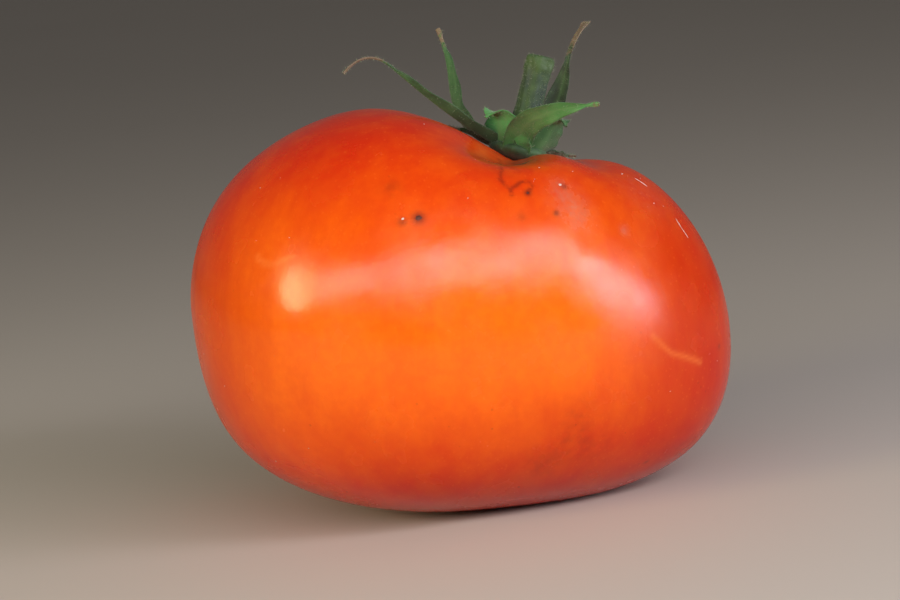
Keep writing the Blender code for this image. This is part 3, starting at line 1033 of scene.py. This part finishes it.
def trail(points, faces, skin_tree, path, width, height):
    """A thin raised line along a path of (azimuth, latitude) on the skin."""
    route = smooth_route([skin_point(azimuth, latitude) for azimuth, latitude in path])
    first, last = len(points), len(route) - 1
    for index, place in enumerate(route):
        ahead = (route[min(index + 1, last)] - route[max(index - 1, 0)]).normalized()
        nearest, normal, _, _ = skin_tree.find_nearest(place)
        side = normal.cross(ahead).normalized()
        from_end = min(index + 0.5, len(route) - index - 0.5) / len(route)
        size = min(1, TRAIL_TAPER * from_end)
        size *= 1 + TRAIL_WOBBLE * noise.noise(place * TRAIL_WOBBLE_SCALE)
        for column in range(TRAIL_COLUMNS):
            turn = tau * column / TRAIL_COLUMNS
            aside = side * (cos(turn) * width / 2 * size)
            points.append(nearest + aside + normal * (sin(turn) * height * size))
    faces += tube_faces_inward(first, len(route), TRAIL_COLUMNS)
    start, end = first, first + last * TRAIL_COLUMNS
    faces.append(tuple(range(start, start + TRAIL_COLUMNS)))
    faces.append(tuple(range(end + TRAIL_COLUMNS - 1, end - 1, -1)))


# Azimuth, latitude, width, length and turn, in degrees and millimetres
DARK_BLOTS = (
    (260.4, 27.5, 1.05, 1.3, 20),
    (285.6, 38, 0.4, 0.5, 0),
    (120, 20, 0.8, 1.0, 40),
)
PALE_BLOTS = (
    (295.2, 42.3, 0.6, 0.7, 0),
    (257.2, 26.9, 0.4, 0.6, 20),
    (288.4, 50.4, 0.35, 0.4, 0),
    (276, 65, 0.35, 0.7, 15),
    (303, 61, 0.3, 0.6, 10),
    (325.8, 53.5, 0.3, 0.8, 10),
    (329.6, 40.5, 0.3, 0.45, 0),
    (239.7, 60.8, 0.25, 0.4, 30),
    (217, 29.6, 0.2, 0.4, 0),
    (222.5, -37.5, 0.3, 0.35, 0),
    (236.4, -29.9, 0.22, 0.28, 0),
    (212.7, -16, 0.22, 0.28, 0),
)
LINT_TRAILS = (
    ((330, 51.3), (332.5, 47.5)),
    ((336.3, 35.9), (336.8, 32.5), (337.8, 29.4)),
)
SCAB_HEIGHT = 0.08 * MM
FLECK_HEIGHT = 0.06 * MM
LINT_WIDTH = 0.16 * MM
LINT_HEIGHT = 0.05 * MM
RANDOM_FLECKS = 36
RANDOM_FLECK_HEIGHT = 0.04 * MM
RANDOM_FLECK_WIDTHS = (0.08, 0.18)  # millimetres
RANDOM_FLECK_LENGTHS = (1, 3)  # in widths
RANDOM_FLECK_LATITUDES = (-35, 70)
SCAB_DARK = (0.030, 0.012, 0.010, 1)
SCAB_LIGHT = (0.11, 0.028, 0.018, 1)
FLECK_DARK = (0.50, 0.32, 0.28, 1)
FLECK_LIGHT = (0.72, 0.56, 0.50, 1)


def make_marks(skin_tree):
    """Scabs, pale flecks and lint, each a thin solid on the skin."""
    draw = random.Random(7)
    scab = plain_material("scab_brown", SCAB_DARK, SCAB_LIGHT, 0.6)
    pale = plain_material("pale_flecks", FLECK_DARK, FLECK_LIGHT, 0.5)

    scab_points, scab_faces = [], []
    for azimuth, latitude, width, length, turn in DARK_BLOTS:
        size = (width * MM, length * MM)
        blot(scab_points, scab_faces, skin_tree, azimuth, latitude, *size, turn, SCAB_HEIGHT, draw)

    points, faces = [], []
    for azimuth, latitude, width, length, turn in PALE_BLOTS:
        size = (width * MM, length * MM)
        blot(points, faces, skin_tree, azimuth, latitude, *size, turn, FLECK_HEIGHT, draw)
    for _ in range(RANDOM_FLECKS):
        azimuth, latitude = draw.uniform(0, 360), draw.uniform(*RANDOM_FLECK_LATITUDES)
        width = draw.uniform(*RANDOM_FLECK_WIDTHS) * MM
        length, turn = width * draw.uniform(*RANDOM_FLECK_LENGTHS), draw.uniform(0, 180)
        height = RANDOM_FLECK_HEIGHT
        blot(points, faces, skin_tree, azimuth, latitude, width, length, turn, height, draw)
    for path in LINT_TRAILS:
        trail(points, faces, skin_tree, path, LINT_WIDTH, LINT_HEIGHT)

    marks = (("skin_scabs", scab_points, scab_faces, scab), ("skin_flecks", points, faces, pale))
    for name, mark_points, mark_faces, material in marks:
        mark = new_object(name, smooth_mesh(name, mark_points, mark_faces), material)
        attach(mark, "root")


# ---------------------------------------------------------------- stage


FLOOR_HALF_WIDTH = 6.0
FLOOR_DARK = (0.54, 0.50, 0.46, 1)
FLOOR_LIGHT = (0.57, 0.53, 0.49, 1)


def make_floor(level):
    graph = Graph("pale_floor")
    shade = graph.mix(graph.noise(graph.place(), 3, 2), FLOOR_DARK, FLOOR_LIGHT)
    material = graph.finish({"Base Color": shade, "Roughness": 0.7, "Specular IOR Level": 0.2})
    half = FLOOR_HALF_WIDTH
    corners = [(-half, -half, level), (half, -half, level), (half, half, level), (-half, half, level)]
    mesh = bpy.data.meshes.new("floor")
    mesh.from_pydata(corners, [], [(0, 1, 2, 3)])
    floor = new_object("floor", mesh, material)


WORLD_COLOR = (1.0, 0.95, 0.89, 1)
WORLD_STRENGTH = 0.12
LIGHT_DISTANCE = 0.6
LIGHT_TARGET_HEIGHT = 38 * MM

# Area lights that reach from one direction to another, start and end, as the target sees them: azimuths and
# elevations in degrees, where azimuth -90 is the front. Height is in metres.
SoftBox = namedtuple("SoftBox", "name shape start end height watts color")
SOFT_BOXES = (
    SoftBox("window_left", "RECTANGLE", (-138, 15), (-92, 21), 0.12, 0.95, (1.0, 0.96, 0.92)),
    SoftBox("window_middle", "RECTANGLE", (-92, 21), (-44, 28), 0.12, 1.4, (1.0, 0.97, 0.96)),
    SoftBox("lamp_left", "ELLIPSE", (-160, 12), (-138, 16), 0.17, 1.4, (1.0, 0.87, 0.48)),
    SoftBox("window_right", "RECTANGLE", (-46, 29), (-32, 19), 0.13, 0.58, (0.98, 0.95, 1.0)),
    SoftBox("lamp_right", "ELLIPSE", (-33, 18), (-11, 1), 0.15, 1.45, (0.96, 0.92, 1.0)),
)


def light_place(azimuth, elevation, target):
    turn, climb = radians(azimuth), radians(elevation)
    return target + LIGHT_DISTANCE * Vector((cos(turn) * cos(climb), sin(turn) * cos(climb), sin(climb)))


def make_soft_box(box, target):
    first, last = light_place(*box.start, target), light_place(*box.end, target)
    data = bpy.data.lights.new(box.name, "AREA")
    data.shape = box.shape
    data.size = (last - first).length
    data.size_y = box.height
    data.energy = box.watts
    data.color = box.color
    light = bpy.data.objects.new(box.name, data)
    bpy.context.scene.collection.objects.link(light)
    middle = (first + last) / 2
    away = (middle - target).normalized()
    along = (last - first).normalized()
    turned = Matrix((along, away.cross(along), away)).transposed().to_4x4()
    light.matrix_world = Matrix.Translation(middle) @ turned
    light.visible_camera = False


def make_light():
    world = bpy.data.worlds.new("studio")
    world.use_nodes = True
    background = world.node_tree.nodes["Background"]
    background.inputs["Color"].default_value = WORLD_COLOR
    background.inputs["Strength"].default_value = WORLD_STRENGTH
    bpy.context.scene.world = world
    target = Vector((0, 0, LIGHT_TARGET_HEIGHT))
    for box in SOFT_BOXES:
        make_soft_box(box, target)


CAMERA_DISTANCE = 0.5
CAMERA_ELEVATION = 9
CAMERA_ROLL = 5.75
CAMERA_LENS = 121
CAMERA_SENSOR_WIDTH = 36
CAMERA_TARGET = (-0.2 * MM, 0, 32.95 * MM)


def make_camera():
    """In front of the fruit and a little above it, rolled so that the floor rises to the right."""
    elevation, roll = radians(CAMERA_ELEVATION), radians(CAMERA_ROLL)
    back = Vector((0, -cos(elevation), sin(elevation)))
    across = Vector((1, 0, 0))
    upward = back.cross(across)
    right = across * cos(roll) - upward * sin(roll)
    up = across * sin(roll) + upward * cos(roll)
    data = bpy.data.cameras.new("camera")
    data.lens = CAMERA_LENS
    data.sensor_width = CAMERA_SENSOR_WIDTH
    camera = bpy.data.objects.new("camera", data)
    bpy.context.scene.collection.objects.link(camera)
    place = Vector(CAMERA_TARGET) + back * CAMERA_DISTANCE
    turned = Matrix((right, up, back)).transposed().to_4x4()
    camera.matrix_world = Matrix.Translation(place) @ turned
    bpy.context.scene.camera = camera


# ---------------------------------------------------------------- all of it

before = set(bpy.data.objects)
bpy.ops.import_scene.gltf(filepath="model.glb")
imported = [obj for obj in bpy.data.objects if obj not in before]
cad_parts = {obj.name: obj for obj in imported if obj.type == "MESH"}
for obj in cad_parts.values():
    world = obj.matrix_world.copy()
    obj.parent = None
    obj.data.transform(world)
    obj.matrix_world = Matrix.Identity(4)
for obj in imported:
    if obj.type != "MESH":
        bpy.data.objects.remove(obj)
cad_low, cad_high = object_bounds()
bpy.context.scene.view_settings.view_transform = "Standard"

fruit = make_fruit()
skin_tree = BVHTree.FromObject(fruit, bpy.context.evaluated_depsgraph_get())
stand = calyx_frame()
sepals = make_sepals(stand, skin_tree)
receptacle = make_receptacle(stand, sepals.data.materials[0])
stem = make_stem(stand)
draw = random.Random(3)
hair = plain_material("hairs", HAIR_DARK, HAIR_LIGHT, 0.5)
make_hairs("stem_hairs", surface_samples(stem, STEM_HAIRS, draw), hair, draw)
make_hairs("sepal_hairs", surface_samples(sepals, SEPAL_HAIRS, draw), hair, draw)
make_marks(skin_tree)

make_floor(cad_low.z)
make_light()
make_camera()
